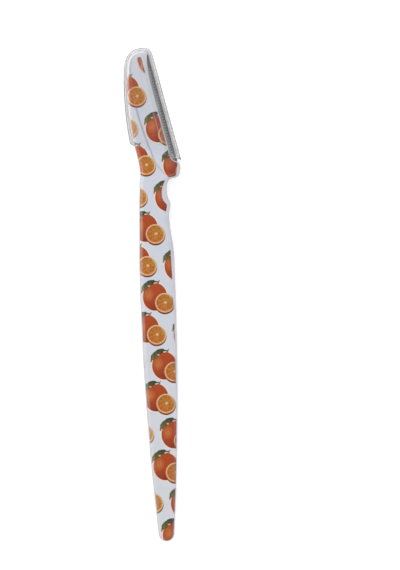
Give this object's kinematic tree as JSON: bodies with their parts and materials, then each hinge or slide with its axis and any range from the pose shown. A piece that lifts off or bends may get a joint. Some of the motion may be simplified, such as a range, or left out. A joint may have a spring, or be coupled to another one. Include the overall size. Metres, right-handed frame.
{
  "type": "eyebrow razor",
  "caption": "Flat moulded eyebrow razor with a tilted steel blade, a folded comb guard and a clear slide-off cap.",
  "frame": {"origin": "middle of the box in X and Y, at the height of the cap's flat back, on which the razor lies", "axes": "+Y from the tail to the head, +X towards the cutting edge, +Z out of the printed face"},
  "size_m": [0.0168, 0.15, 0.0047],
  "materials": {
    "printed_plastic": "pale lavender plastic with a glossy fruit print on its face",
    "blade_steel": "ground stainless strip with a fine bevel",
    "guard_steel": "thin stainless foil, slit like a comb",
    "clear_plastic": "clear polystyrene with soft moulded edges"
  },
  "bodies": {
    "razor": {"handle": "printed_plastic", "blade": "blade_steel", "guard": "guard_steel"},
    "cap": {"cap": "clear_plastic"}
  },
  "joints": [
    {"name": "cap_slide", "type": "slide", "parent": "razor", "child": "cap", "axis": [-0.2284, 0.9736, 0], "range_m": [0, 0.045]}
  ]
}
